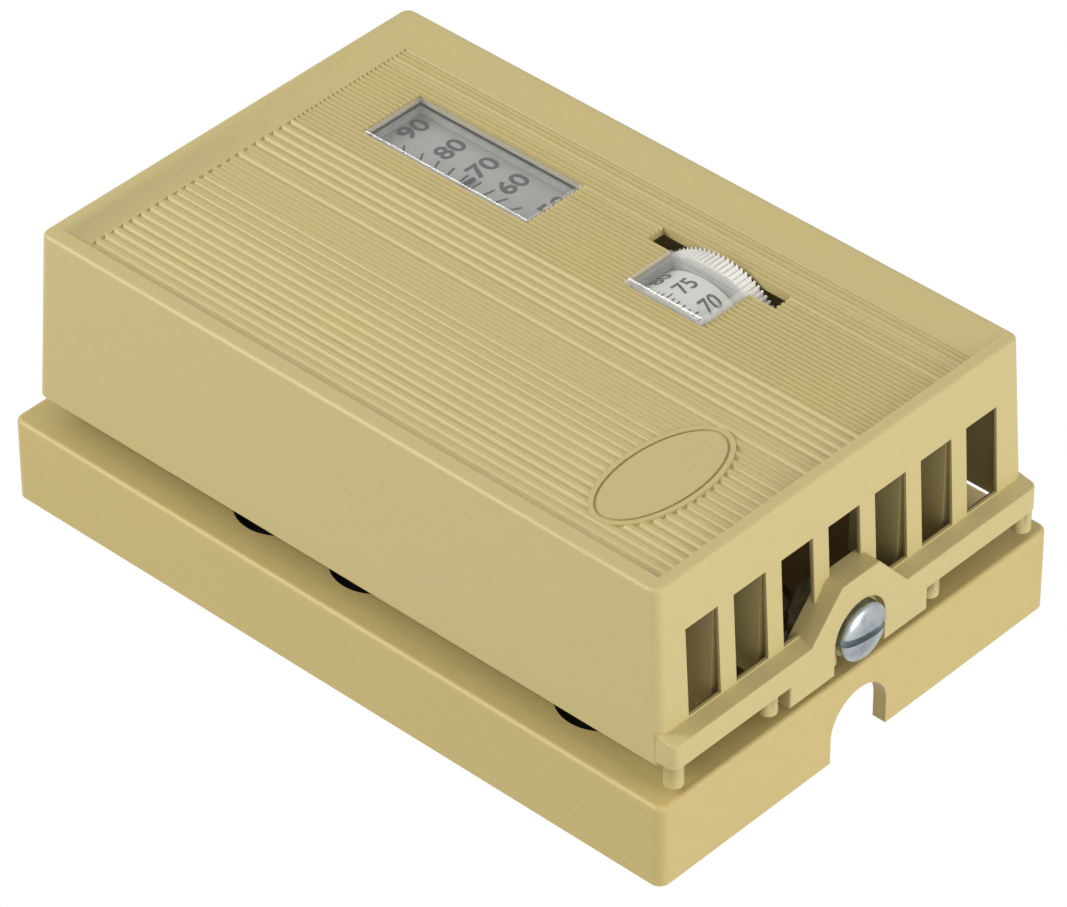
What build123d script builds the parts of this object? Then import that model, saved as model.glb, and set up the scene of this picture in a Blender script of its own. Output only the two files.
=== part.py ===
"""A low-voltage wall thermostat: a ribbed plastic cover over a hollow sub-base.

Frame, in millimetres: +X is to the right and +Z is up the wall. The wall is the plane
y = 0 and the face looks towards -Y. "Height" below is the distance out from the wall.
"""
from build123d import *
from math import cos, pi, radians, sin
import os

os.makedirs("parts", exist_ok=True)

# ---- driving dimensions ------------------------------------------------------------
base_width = 77.8
base_length = 119.3
base_depth = 13.4
base_corner = 1.6
base_wall = 2.2

foot_width = 72.5                # the cover at its open edge
foot_length = 114.3
foot_height = 17.55
top_width = 71.5                 # the cover at its rim
top_length = 110.9
top_height = 45.4
cover_corner = 1.5
cover_wall = 1.3
rim_round = 0.6

floor_height = 44.3              # ribbed floor of the face, sunk below the rim
roof_height = 43.1               # underside of the face
floor_left = -33.2
floor_right = 29.4
floor_bottom = -53.6
floor_top = 49.9
coarse_pitch = 1.69
coarse_first = -31.3
coarse_count = 23
groove_depth = 0.32

louver_pitch = 9.2
louver_count = 7
louver_width = 6.2
louver_low = 22.7
louver_high = 36.7
flange_face = -59.4              # z of the flange's outer face
flange_low = 18.0
flange_high = 22.0
flange_root = 22.6
cover_screw_height = 19.4

window_left, window_right = 11.2, 22.7      # thermometer window
window_low, window_high = 10.0, 40.7
lens_left, lens_right = 9.9, 19.4           # setpoint window
lens_low, lens_high = -22.5, -8.6
slot_right = 22.75                          # thumbwheel slot, joined to that window
slot_low, slot_high = -26.9, -4.25

peg_foot = 14.8                             # cover pegs stop clear of the sub-base

wall_screw_span = 83.3                      # between the two wall screws
wall_screw_hole = 2.25

chassis_left, chassis_right = -17.0, 31.0
chassis_low, chassis_high = -54.0, 50.0
chassis_thickness = 1.5
deck = base_depth + chassis_thickness       # height of the chassis plate's face

wheel_z, wheel_height = -15.4, 33.1         # setpoint axle
wheel_radius = 12.2
wheel_left, wheel_right = 19.75, 22.35
drum_radius = 10.8
drum_left, drum_right = 11.6, 18.3
axle_radius = 1.5
running_gap = 0.06
cam_left, cam_right = 9.6, 10.9
cam_radius = 5.7
cam_rise = 0.004                            # millimetres of radius per degree

lever_z, lever_height = -31.0, 26.5         # follower lever's pin
lever_gap = 0.35
blade_left, blade_right = -11.5, -2.5
blade_thickness = 0.8

arbor_x, arbor_z = -0.8, 24.4               # thermometer arbor
arbor_radius = 0.8
scale_face = 41.3
pointer_reach = 17.0


def front(height):
    """Plane parallel to the wall: x is +X, y is +Z, extrudes outwards."""
    return Plane(origin=(0, -height, 0), x_dir=(1, 0, 0), z_dir=(0, -1, 0))


def across(x):
    """Plane across the width: x is +Z, y is height, extrudes along +X."""
    return Plane(origin=(x, 0, 0), x_dir=(0, 0, 1), z_dir=(1, 0, 0))


def end_on(z):
    """Plane across the length: x is +X, y is height, extrudes downwards, along -Z."""
    return Plane(origin=(0, 0, z), x_dir=(1, 0, 0), z_dir=(0, 0, -1))


def span(left, right, low, high):
    """Adds a rectangle between four limits to the sketch that is open."""
    with Locations(((left + right) / 2, (low + high) / 2)):
        Rectangle(right - left, high - low)


def save(builder, name):
    """Labels one finished piece and writes its STEP file."""
    builder.part.label = name
    export_step(builder.part, f"parts/{name}.step")


# ---- sub-base ----------------------------------------------------------------------
chassis_screw_places = [(x, z) for x in (-13.5, 27.5) for z in (-46.0, 46.0)]
bracket_screw_places = [(14.5, -31.0), (20.5, -31.0)]
hook_screw_places = [(6.5, 47.2), (16.0, 47.2)]
switch_screw_places = [(-10.6, 28.2), (-3.4, 28.2)]
wall_screw_places = [(0, wall_screw_span / 2), (0, -wall_screw_span / 2)]
wiring_hole_radius = 6.5
wiring_hole_x = -27.6
wiring_hole_places = [(wiring_hole_x, z) for z in (19.3, 1.4, -39.3)]
wire_entry = (-7.0, 5.0, -33.5, -20.5)
notch_radius = 5.6
notch_spring = 4.0
inner_width = base_width - 2 * base_wall
inner_length = base_length - 2 * base_wall

with BuildPart() as sub_base:
    with BuildSketch(front(0)):
        RectangleRounded(base_width, base_length, base_corner)
    extrude(amount=base_depth)
    fillet(sub_base.faces().sort_by(Axis.Y)[0].edges(), 0.7)
    with BuildSketch(front(0)):
        RectangleRounded(inner_width, inner_length, 1)
    extrude(amount=base_depth - base_wall, mode=Mode.SUBTRACT)
    # posts that stand on the wall round the two wall screws
    with BuildSketch(front(0)):
        with Locations(*wall_screw_places):
            Circle(4.5)
    extrude(amount=base_depth - base_wall + 0.1)
    with BuildSketch(front(-1)):
        with Locations(*wall_screw_places):
            Circle(wall_screw_hole)
    extrude(amount=base_depth + 2, mode=Mode.SUBTRACT)
    # posts behind the top plate, for the chassis screws
    with BuildSketch(front(4)):
        with Locations(*chassis_screw_places):
            Circle(3)
    extrude(amount=base_depth - base_wall - 4 + 0.1)
    with BuildSketch(front(5)):
        with Locations(*chassis_screw_places):
            Circle(1.35)
        with Locations(*wiring_hole_places):
            Circle(wiring_hole_radius)
        span(*wire_entry)
    extrude(amount=base_depth, mode=Mode.SUBTRACT)
    # arched conduit notch in the lower end wall
    with BuildSketch(end_on(-base_length / 2 + 2 * base_wall)):
        with Locations((0, notch_spring)):
            Circle(notch_radius)
        span(-notch_radius, notch_radius, -1, notch_spring)
    extrude(amount=3 * base_wall, mode=Mode.SUBTRACT)
save(sub_base, "sub_base")

# ---- rubber plugs that keep draughts out of the unused wiring holes -----------------
plug_face = 12.2
plate_back = base_depth - base_wall
with BuildPart() as wiring_plugs:
    with BuildSketch(front(plate_back)):
        with Locations(*wiring_hole_places):
            Circle(wiring_hole_radius - 0.04)
    extrude(amount=plug_face - plate_back)
    with BuildSketch(front(plate_back - 1.0)):
        with Locations(*wiring_hole_places):
            Circle(wiring_hole_radius + 0.9)
    extrude(amount=1.0)
    with BuildSketch(front(plug_face - 0.5)):
        with Locations(*wiring_hole_places):
            Circle(wiring_hole_radius - 1.2)
    extrude(amount=1.0, mode=Mode.SUBTRACT)
save(wiring_plugs, "wiring_plugs")

# ---- chassis plate and its screws --------------------------------------------------
with BuildPart() as chassis_plate:
    with BuildSketch(front(base_depth)):
        span(chassis_left, chassis_right, chassis_low, chassis_high)
        with Locations(*chassis_screw_places):
            Circle(1.35, mode=Mode.SUBTRACT)
        with Locations(*bracket_screw_places, *hook_screw_places):
            Circle(1.3, mode=Mode.SUBTRACT)
        with Locations(*switch_screw_places):
            Circle(1.1, mode=Mode.SUBTRACT)
        with Locations(*wall_screw_places):
            Circle(4.5, mode=Mode.SUBTRACT)
        with Locations(((wire_entry[0] + wire_entry[1]) / 2, (wire_entry[2] + wire_entry[3]) / 2)):
            Rectangle(wire_entry[1] - wire_entry[0], wire_entry[3] - wire_entry[2], mode=Mode.SUBTRACT)
    extrude(amount=chassis_thickness)
    fillet(chassis_plate.edges().filter_by(Axis.Y).group_by(SortBy.LENGTH)[0]
           .filter_by(lambda edge: abs(edge.center().Z) > 49.9), 2)
save(chassis_plate, "chassis_plate")


def pan_screws(places, seat, shank_radius, shank_length, head_radius, head_height):
    """A group of slotted pan-head screws that point at the wall."""
    with BuildPart() as screws:
        with BuildSketch(front(seat - shank_length)):
            with Locations(*places):
                Circle(shank_radius)
        extrude(amount=shank_length)
        with BuildSketch(front(seat)):
            with Locations(*places):
                Circle(head_radius)
        extrude(amount=head_height)
        fillet(screws.edges().filter_by(GeomType.CIRCLE).group_by(Axis.Y)[0], head_height * 0.45)
        with BuildSketch(front(seat + head_height * 0.5)):
            with Locations(*places):
                Rectangle(2.2 * head_radius, 0.22 * head_radius, rotation=35)
        extrude(amount=head_height, mode=Mode.SUBTRACT)
    return screws


save(pan_screws(chassis_screw_places, deck, 1.3, 9.0, 2.6, 1.5), "chassis_screws")

# ---- cover shell -------------------------------------------------------------------
width_taper = (foot_width - top_width) / (top_height - foot_height)
length_taper = (foot_length - top_length) / (top_height - foot_height)
inner_top_width = top_width + width_taper * (top_height - roof_height) - 2 * cover_wall
inner_top_length = top_length + length_taper * (top_height - roof_height) - 2 * cover_wall
rim_land = 1.1
slope_break = 44.85
fine_pitch = coarse_pitch / 2
fine_first = coarse_first + (coarse_count - 1) * coarse_pitch + 1.13
fine_count = 27
boss_foot, boss_shoulder, boss_top = 9.6, 3.7, 28.7
tab_half, tab_low = 13.7, 14.5
screw_recess_radius = 5.05
screw_passage_radius = 3.0
recess_floor = -58.0
corner_peg = 1.35
stub_peg = 1.35
fin_places = (-24.5, -15.3, 12.3, 21.5)     # left faces of the deep fins between louvers
fin_thickness = 1.2
fin_reach = -46.8                           # z of the fins' inner edges
hook_places = ((-10.0, 0.0), (12.0, 22.0))
pad_place = (-16.7, -39.4)
louver_middle = (louver_low + louver_high) / 2
louver_lip = 0.4                            # wall left round each louver's outer edge
scale_posts = [(4.5, 38.6), (4.5, 10.6)]


def groove_row(first, count, pitch, width):
    """Adds a row of tapered grooves, seen end on, to the open sketch."""
    for index in range(count):
        middle = first + index * pitch
        Polygon(
            (middle - width / 2 - 0.04, floor_height + 0.05),
            (middle - width * 0.28, floor_height - groove_depth),
            (middle + width * 0.28, floor_height - groove_depth),
            (middle + width / 2 + 0.04, floor_height + 0.05),
            align=None,
        )


with BuildPart() as cover_shell:
    with BuildSketch(front(foot_height)):
        RectangleRounded(foot_width, foot_length, cover_corner)
    with BuildSketch(front(top_height)):
        RectangleRounded(top_width, top_length, cover_corner)
    loft()
    fillet(cover_shell.faces().sort_by(Axis.Y)[0].edges(), rim_round)
    with BuildSketch(front(foot_height)):
        RectangleRounded(foot_width - 2 * cover_wall, foot_length - 2 * cover_wall, 1)
    with BuildSketch(front(roof_height)):
        RectangleRounded(inner_top_width, inner_top_length, 1)
    loft(mode=Mode.SUBTRACT)
    # dished face: a steep band under the rim, then a shallow one down to the floor
    with BuildSketch(front(top_height)):
        span(floor_left, top_width / 2 - rim_land, floor_bottom, top_length / 2 - rim_land)
    with BuildSketch(front(slope_break)):
        span(floor_left, top_width / 2 - rim_land - 1.6, floor_bottom, top_length / 2 - rim_land - 1.6)
    loft(mode=Mode.SUBTRACT)
    with BuildSketch(front(slope_break)):
        span(floor_left, top_width / 2 - rim_land - 1.6, floor_bottom, top_length / 2 - rim_land - 1.6)
    with BuildSketch(front(floor_height)):
        span(floor_left, floor_right, floor_bottom, floor_top)
    loft(mode=Mode.SUBTRACT)
    # ribs: coarse grooves on the left, fine ones on the right
    with BuildSketch(end_on(floor_top - 0.2)):
        groove_row(coarse_first, coarse_count, coarse_pitch, 1.0)
        groove_row(fine_first, fine_count, fine_pitch, 0.46)
    extrude(amount=floor_top - floor_bottom - 0.4, mode=Mode.SUBTRACT)
    # plain oval pad with a line cut round inside its border
    with BuildSketch(front(floor_height - groove_depth - 0.1)):
        with Locations(pad_place):
            Ellipse(12.4, 6.3)
    extrude(amount=groove_depth + 0.2)
    with BuildSketch(front(floor_height - 0.15)):
        with Locations(pad_place):
            Ellipse(11.6, 5.6)
            Ellipse(11.2, 5.2, mode=Mode.SUBTRACT)
    extrude(amount=1, mode=Mode.SUBTRACT)
    # thermometer window, setpoint window and thumbwheel slot
    with BuildSketch(front(roof_height - 0.5)):
        span(window_left, window_right, window_low, window_high)
        span(lens_left, lens_right + 0.1, lens_low, lens_high)
        span(lens_right, slot_right, slot_low, slot_high)
    extrude(amount=3, mode=Mode.SUBTRACT)
    # louvers in the lower end wall
    with BuildSketch(end_on(-52)):
        for index in range(louver_count):
            middle = (index - louver_count // 2) * louver_pitch
            span(middle - louver_width / 2, middle + louver_width / 2, louver_low, louver_high)
    extrude(amount=6, mode=Mode.SUBTRACT)
    # each louver flares inwards behind a thin lip
    wall_z = -top_length / 2 - length_taper / 2 * (top_height - louver_middle)
    flare = Plane(
        origin=(0, -louver_middle, wall_z + louver_lip), x_dir=(1, 0, 0), z_dir=(0, length_taper / 2, 1)
    )
    with BuildSketch(flare):
        with GridLocations(louver_pitch, 1, louver_count, 1):
            Rectangle(louver_width, louver_high - louver_low)
    extrude(amount=2.2, taper=-38, mode=Mode.SUBTRACT)
    # flange along the foot of the lower end wall
    with BuildSketch(across(-foot_width / 2)):
        with BuildLine():
            Polyline(
                (-56.2, flange_root), (flange_face, flange_high), (flange_face, flange_low),
                (-56.2, flange_low), close=True,
            )
        make_face()
    extrude(amount=foot_width)
    fillet(cover_shell.edges().filter_by(Axis.Y)
           .filter_by(lambda edge: edge.center().Z < flange_face + 0.01), 1.2)
    # trapezoidal boss over the flange, and the tab below it
    with BuildSketch(end_on(-55.3)):
        with BuildLine():
            Polyline(
                (-tab_half, tab_low), (tab_half, tab_low), (tab_half, flange_low + 1),
                (boss_foot + 2, flange_low + 1.5), (boss_foot, 22.0), (boss_shoulder, boss_top),
                (-boss_shoulder, boss_top), (-boss_foot, 22.0), (-boss_foot - 2, flange_low + 1.5),
                (-tab_half, flange_low + 1), close=True,
            )
        make_face()
    extrude(amount=-55.3 - flange_face)
    fillet(cover_shell.faces().sort_by(Axis.Z)[0].outer_wire().edges(), 0.3)
    with BuildSketch(end_on(recess_floor)):
        with Locations((0, cover_screw_height)):
            Circle(screw_recess_radius)
        span(-screw_recess_radius, screw_recess_radius, tab_low - 1, cover_screw_height)
    extrude(amount=6, mode=Mode.SUBTRACT)
    with BuildSketch(end_on(-54)):
        with Locations((0, cover_screw_height)):
            Circle(screw_passage_radius)
        span(-screw_passage_radius, screw_passage_radius, tab_low - 1, cover_screw_height)
    extrude(amount=8, mode=Mode.SUBTRACT)
    # pegs that the cover stands on
    with BuildSketch(front(peg_foot)):
        with Locations((-34.8, -58.0), (34.8, -58.0), (-31.0, 55.2), (31.0, 55.2)):
            Circle(corner_peg)
    extrude(amount=flange_low + 0.6 - peg_foot)
    with BuildSketch(front(peg_foot + 0.4)):
        with Locations((-16.5, -57.9), (15.8, -57.9)):
            Circle(stub_peg)
    extrude(amount=flange_low + 0.2 - peg_foot)
    # deep fins behind the wall between the outer louvers
    with BuildSketch(front(flange_low + 0.4)):
        for left in fin_places:
            span(left, left + fin_thickness, -55.1, fin_reach)
    extrude(amount=roof_height + 0.1 - flange_low - 0.4)
    # ledges inside the upper end wall, for the hooks
    with BuildSketch(front(foot_height + 0.1)):
        for left, right in hook_places:
            span(left, right, 53.3, foot_length / 2 - 0.8)
    extrude(amount=1.1)
    # posts under the face, for the thermometer scale
    with BuildSketch(front(scale_face)):
        with Locations(*scale_posts):
            Circle(2.3)
    extrude(amount=roof_height - scale_face + 0.1)
    with BuildSketch(front(scale_face - 0.1)):
        with Locations(*scale_posts):
            Circle(0.95)
    extrude(amount=1.9, mode=Mode.SUBTRACT)
save(cover_shell, "cover_shell")

# ---- windows -----------------------------------------------------------------------
lens_gap = 0.08
lens_wall = 0.9
flange_face_height = roof_height - 0.05
with BuildPart() as thermometer_lens:
    with BuildSketch(front(scale_face + 0.8)):
        span(window_left + lens_gap, window_right - lens_gap, window_low + lens_gap, window_high - lens_gap)
    extrude(amount=floor_height + 0.05 - scale_face - 0.8)
    chamfer(thermometer_lens.faces().sort_by(Axis.Y)[0].edges(), 0.3)
    with BuildSketch(front(scale_face + 0.8)):
        span(window_left - 0.9, window_right + 0.9, window_low - 0.9, window_high + 0.9)
    extrude(amount=flange_face_height - scale_face - 0.8)
    with BuildSketch(front(scale_face)):
        span(window_left + lens_wall, window_right - lens_wall, window_low + lens_wall, window_high - lens_wall)
    extrude(amount=floor_height - 0.9 - scale_face, mode=Mode.SUBTRACT)
save(thermometer_lens, "thermometer_lens")

lens_top = 45.2
lens_foot = 42.45
with BuildPart() as setpoint_lens:
    with BuildSketch(front(lens_foot)):
        span(lens_left + lens_gap, lens_right - 0.1, lens_low + lens_gap, lens_high - lens_gap)
    extrude(amount=lens_top - lens_foot)
    chamfer(setpoint_lens.faces().sort_by(Axis.Y)[0].edges(), 0.5)
    with BuildSketch(front(lens_foot)):
        span(lens_left - 0.9, lens_right - 0.1, lens_low - 0.9, lens_high + 0.9)
    extrude(amount=flange_face_height - lens_foot)
    with BuildSketch(front(lens_foot - 1)):
        span(lens_left + lens_wall, lens_right - lens_wall, lens_low + lens_wall, lens_high - lens_wall)
    extrude(amount=lens_top - 0.9 - lens_foot + 1, mode=Mode.SUBTRACT)
save(setpoint_lens, "setpoint_lens")

# ---- thermometer: scale plate, bridge, coil, arbor and pointer ---------------------
plate_thickness = 0.7
bridge_low = 35.0
bridge_half = 10.4
coil_low, coil_high = 36.4, 39.9
coil_inner, coil_outer = 1.5, 6.4
coil_turns = 5
coil_strip = 0.3
post_x = arbor_x + coil_outer + 0.35

with BuildPart() as scale_plate:
    with BuildSketch(front(scale_face - plate_thickness)):
        span(-6.5, 23.6, 8.2, 42.2)
        with Locations((arbor_x, arbor_z)):
            Circle(arbor_radius + running_gap, mode=Mode.SUBTRACT)
        with Locations(*scale_posts):
            Circle(0.95, mode=Mode.SUBTRACT)
    extrude(amount=plate_thickness)
    # tab that holds the outer end of the coil
    with BuildSketch(front(coil_low - 0.4)):
        span(post_x, post_x + 0.8, arbor_z - 1.6, arbor_z + 1.6)
    extrude(amount=scale_face - plate_thickness - coil_low + 0.5)
save(scale_plate, "scale_plate")

with BuildPart() as scale_screws:
    with BuildSketch(front(scale_face - plate_thickness - 1.1)):
        with Locations(*scale_posts):
            Circle(1.9)
    extrude(amount=1.1)
    with BuildSketch(front(scale_face - plate_thickness)):
        with Locations(*scale_posts):
            Circle(0.9)
    extrude(amount=2.3)
    with BuildSketch(front(scale_face - plate_thickness - 1.1)):
        with Locations(*scale_posts):
            Rectangle(5, 0.45)
    extrude(amount=0.5, mode=Mode.SUBTRACT)
save(scale_screws, "scale_screws")

with BuildPart() as arbor_bridge:
    with BuildSketch(front(bridge_low)):
        span(arbor_x - 2.2, arbor_x + 2.2, arbor_z - bridge_half, arbor_z + bridge_half)
        with Locations((arbor_x, arbor_z)):
            Circle(arbor_radius + running_gap, mode=Mode.SUBTRACT)
    extrude(amount=0.8)
    for side in (-1, 1):
        leg = arbor_z + side * (bridge_half - 0.4)
        foot = arbor_z + side * (bridge_half + 1.2)
        with BuildSketch(front(bridge_low)):
            span(arbor_x - 2.2, arbor_x + 2.2, leg - 0.4, leg + 0.4)
        extrude(amount=scale_face - plate_thickness - bridge_low)
        with BuildSketch(front(scale_face - plate_thickness - 0.8)):
            span(arbor_x - 2.2, arbor_x + 2.2, min(leg, foot), max(leg, foot))
        extrude(amount=0.8)
save(arbor_bridge, "arbor_bridge")


def spiral(turns, inner, outer, steps):
    """Points on an even spiral about the arbor, ending towards +X."""
    points = []
    for index in range(turns * steps + 1):
        share = index / (turns * steps)
        angle = 2 * pi * turns * (share - 1)
        radius = inner + (outer - inner) * share
        points.append((arbor_x + radius * cos(angle), arbor_z + radius * sin(angle)))
    return points


coil_outside = spiral(coil_turns, coil_inner + coil_strip, coil_outer, 20)
coil_inside = spiral(coil_turns, coil_inner, coil_outer - coil_strip, 20)
with BuildPart() as thermometer_coil:
    with BuildSketch(front(coil_low)):
        with BuildLine():
            Polyline(*coil_outside, *reversed(coil_inside), close=True)
        make_face()
    extrude(amount=coil_high - coil_low)
    with BuildSketch(front(coil_low)):
        span(arbor_x + coil_outer - coil_strip, post_x - 0.02, arbor_z - 0.6, arbor_z)
    extrude(amount=coil_high - coil_low)
save(thermometer_coil, "thermometer_coil")

with BuildPart() as pointer_arbor:
    with BuildSketch(front(bridge_low - 0.6)):
        with Locations((arbor_x, arbor_z)):
            Circle(arbor_radius)
    extrude(amount=scale_face + 0.9 - bridge_low + 0.6)
    with BuildSketch(front(coil_low)):
        with Locations((arbor_x, arbor_z)):
            Circle(coil_inner - 0.1)
    extrude(amount=coil_high - coil_low)
save(pointer_arbor, "pointer_arbor")

with BuildPart() as thermometer_pointer:
    with BuildSketch(front(scale_face + 0.2)):
        with Locations((arbor_x, arbor_z)):
            Circle(2.2)
        with BuildLine():
            Polyline(
                (arbor_x - 5, arbor_z - 1.1), (arbor_x - 5, arbor_z + 1.1),
                (arbor_x + pointer_reach, arbor_z + 0.25), (arbor_x + pointer_reach, arbor_z - 0.25),
                close=True,
            )
        make_face()
        with Locations((arbor_x, arbor_z)):
            Circle(arbor_radius + 0.01, mode=Mode.SUBTRACT)
    extrude(amount=0.3)
save(thermometer_pointer, "thermometer_pointer")

# ---- setpoint wheel ----------------------------------------------------------------
axle_left, axle_right = 7.2, 26.0
ear_left = 8.2
ear_right = 24.0
ear_thickness = 1.0
tooth_count = 84
tooth_depth = 0.35


bore = axle_radius + 0.01
with BuildPart() as thumbwheel:
    with BuildSketch(across(wheel_left)):
        with Locations((wheel_z, wheel_height)):
            Circle(wheel_radius - tooth_depth / 2)
            Circle(bore, mode=Mode.SUBTRACT)
            with PolarLocations(wheel_radius - tooth_depth / 2, tooth_count):
                Rectangle(tooth_depth, 0.5)
    extrude(amount=wheel_right - wheel_left)
    # dished left side, so that the rim stands out from the web
    with BuildSketch(across(wheel_right - 1.0)):
        with Locations((wheel_z, wheel_height)):
            Circle(wheel_radius - 1.8)
            Circle(4.2, mode=Mode.SUBTRACT)
    extrude(amount=1.5, mode=Mode.SUBTRACT)
save(thumbwheel, "thumbwheel")

drum_rings = [
    (drum_left, drum_right, drum_radius, drum_radius - 1.1),
    (drum_right - 1.1, drum_right, drum_radius - 1, bore),
    (drum_left + 0.6, wheel_left, 3.2, bore),
]
with BuildPart() as setpoint_drum:
    for left, right, outer, inner in drum_rings:
        with BuildSketch(across(left)):
            with Locations((wheel_z, wheel_height)):
                Circle(outer)
                Circle(inner, mode=Mode.SUBTRACT)
        extrude(amount=right - left)
save(setpoint_drum, "setpoint_drum")

with BuildPart() as setpoint_axle:
    with BuildSketch(across(axle_left)):
        with Locations((wheel_z, wheel_height)):
            Circle(axle_radius)
    extrude(amount=axle_right - axle_left)
save(setpoint_axle, "setpoint_axle")

cam_points = []
for step in range(60):
    turn = step * 6
    # the rest point of the track faces the wall; the radius grows the same way all round
    radius = cam_radius + cam_rise * (turn - 180)
    angle = radians(-90 - turn + 180)
    cam_points.append((wheel_z + radius * cos(angle), wheel_height + radius * sin(angle)))
with BuildPart() as setpoint_cam:
    with BuildSketch(across(cam_left)):
        with BuildLine():
            Polyline(*cam_points, close=True)
        make_face()
        with Locations((wheel_z, wheel_height)):
            Circle(bore, mode=Mode.SUBTRACT)
    extrude(amount=cam_right - cam_left)
save(setpoint_cam, "setpoint_cam")

with BuildPart() as axle_clips:
    for left in (axle_left + 0.2, axle_right - 0.8):
        with BuildSketch(across(left)):
            with Locations((wheel_z, wheel_height)):
                Circle(3.0)
                Circle(bore, mode=Mode.SUBTRACT)
            with Locations((wheel_z, wheel_height + 3)):
                Rectangle(1.8, 4, mode=Mode.SUBTRACT)
        extrude(amount=0.6)
save(axle_clips, "axle_clips")

with BuildPart() as wheel_bracket:
    with BuildSketch(front(deck)):
        span(ear_left, ear_right + ear_thickness, -34.5, -9)
        with Locations(*bracket_screw_places):
            Circle(1.3, mode=Mode.SUBTRACT)
    extrude(amount=1.0)
    with BuildSketch(across(ear_left)):
        with BuildLine():
            Polyline(
                (-34.5, deck), (-9, deck), (-9, 34), (-12, 37.2), (-18.5, 37.2), (-34.5, 30), close=True,
            )
        make_face()
        with Locations((wheel_z, wheel_height)):
            Circle(axle_radius + running_gap, mode=Mode.SUBTRACT)
        with Locations((lever_z, lever_height)):
            Circle(1.22, mode=Mode.SUBTRACT)
    extrude(amount=ear_thickness)
    with BuildSketch(across(ear_right)):
        with BuildLine():
            Polyline((-22, deck), (-9, deck), (-9, 34), (-12, 37.2), (-18.5, 37.2), (-22, 34), close=True)
        make_face()
        with Locations((wheel_z, wheel_height)):
            Circle(axle_radius + running_gap, mode=Mode.SUBTRACT)
    extrude(amount=ear_thickness)
save(wheel_bracket, "wheel_bracket")
save(pan_screws(bracket_screw_places, deck + 1.0, 1.25, 2.4, 2.4, 1.3), "bracket_screws")

# ---- follower lever, its pin, and the bimetal blade --------------------------------
lever_left, lever_right = 9.7, 10.8
finger_top = wheel_height - cam_radius - lever_gap
tail_z = -39.5
bar_low = 25.9
bar_thickness = 1.0

with BuildPart() as lever_pin:
    with BuildSketch(across(ear_left - 0.8)):
        with Locations((lever_z, lever_height)):
            Circle(1.2)
    extrude(amount=lever_right + 0.2 - ear_left + 0.8)
    for left in (ear_left - 0.8, lever_right + 0.2):
        with BuildSketch(across(left)):
            with Locations((lever_z, lever_height)):
                Circle(2.1)
        extrude(amount=0.7)
save(lever_pin, "lever_pin")

with BuildPart() as follower_lever:
    with BuildSketch(across(lever_left)):
        with BuildLine():
            Polyline(
                (tail_z, bar_low), (tail_z, bar_low + bar_thickness), (-35.2, 28.6), (-29, 28.6),
                (-22, 26.4), (-17.2, 26.4), (-16.4, finger_top), (-14.4, finger_top),
                (-13.6, 24.9), (-22, 23.9), (-29, 24.2), (-35.2, bar_low), close=True,
            )
        make_face()
        with Locations((lever_z, lever_height)):
            Circle(1.2 + running_gap, mode=Mode.SUBTRACT)
    extrude(amount=lever_right - lever_left)
    # cross bar that carries the blade
    with BuildSketch(front(bar_low)):
        span(blade_left - 0.5, lever_right, tail_z, tail_z + 3.6)
        with Locations((-9.5, tail_z + 1.8), (-4.5, tail_z + 1.8)):
            Circle(0.85, mode=Mode.SUBTRACT)
    extrude(amount=bar_thickness)
save(follower_lever, "follower_lever")

blade_seat = bar_low + bar_thickness + 0.1
blade_tip = 36.0
with BuildPart() as bimetal_blade:
    with BuildSketch(front(blade_seat)):
        span(blade_left, blade_right, tail_z, blade_tip)
        with Locations((-9.5, tail_z + 1.8), (-4.5, tail_z + 1.8)):
            Circle(0.95, mode=Mode.SUBTRACT)
    extrude(amount=blade_thickness)
    fillet(bimetal_blade.edges().filter_by(Axis.Y).group_by(Axis.Z)[-1], 3)
save(bimetal_blade, "bimetal_blade")

with BuildPart() as blade_rivets:
    with BuildSketch(front(bar_low - 0.6)):
        with Locations((-9.5, tail_z + 1.8), (-4.5, tail_z + 1.8)):
            Circle(0.85)
    extrude(amount=blade_seat + blade_thickness + 0.1 - bar_low + 0.6)
    for seat, height in ((bar_low - 0.6, 0.6), (blade_seat + blade_thickness + 0.1, 0.6)):
        with BuildSketch(front(seat)):
            with Locations((-9.5, tail_z + 1.8), (-4.5, tail_z + 1.8)):
                Circle(1.5)
        extrude(amount=height)
save(blade_rivets, "blade_rivets")

# ---- snap switch under the blade's tip ---------------------------------------------
switch_left, switch_right = -13.0, -1.0
switch_low, switch_high = 25.5, 39.5
switch_top = 21.6
plunger_place = (-7.0, 34.0)
plunger_radius = 1.3
plunger_travel = 0.6
with BuildPart() as switch_case:
    with BuildSketch(front(deck)):
        span(switch_left, switch_right, switch_low, switch_high)
    extrude(amount=switch_top - deck)
    fillet(switch_case.edges().filter_by(Axis.Y), 0.8)
    with BuildSketch(front(deck + 2)):
        with Locations(plunger_place):
            Circle(plunger_radius + running_gap)
    extrude(amount=switch_top, mode=Mode.SUBTRACT)
    with BuildSketch(front(deck - 1)):
        with Locations(*switch_screw_places):
            Circle(1.1)
    extrude(amount=switch_top, mode=Mode.SUBTRACT)
save(switch_case, "switch_case")
save(pan_screws(switch_screw_places, switch_top, 1.05, 7.9, 1.9, 1.1), "switch_screws")

with BuildPart() as switch_plunger:
    with BuildSketch(front(deck + 2 + plunger_travel + 0.2)):
        with Locations(plunger_place):
            Circle(plunger_radius)
    extrude(amount=switch_top + 1.2 - deck - 2 - plunger_travel - 0.2)
    fillet(switch_plunger.edges().group_by(Axis.Y)[0], 0.5)
save(switch_plunger, "switch_plunger")

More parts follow.
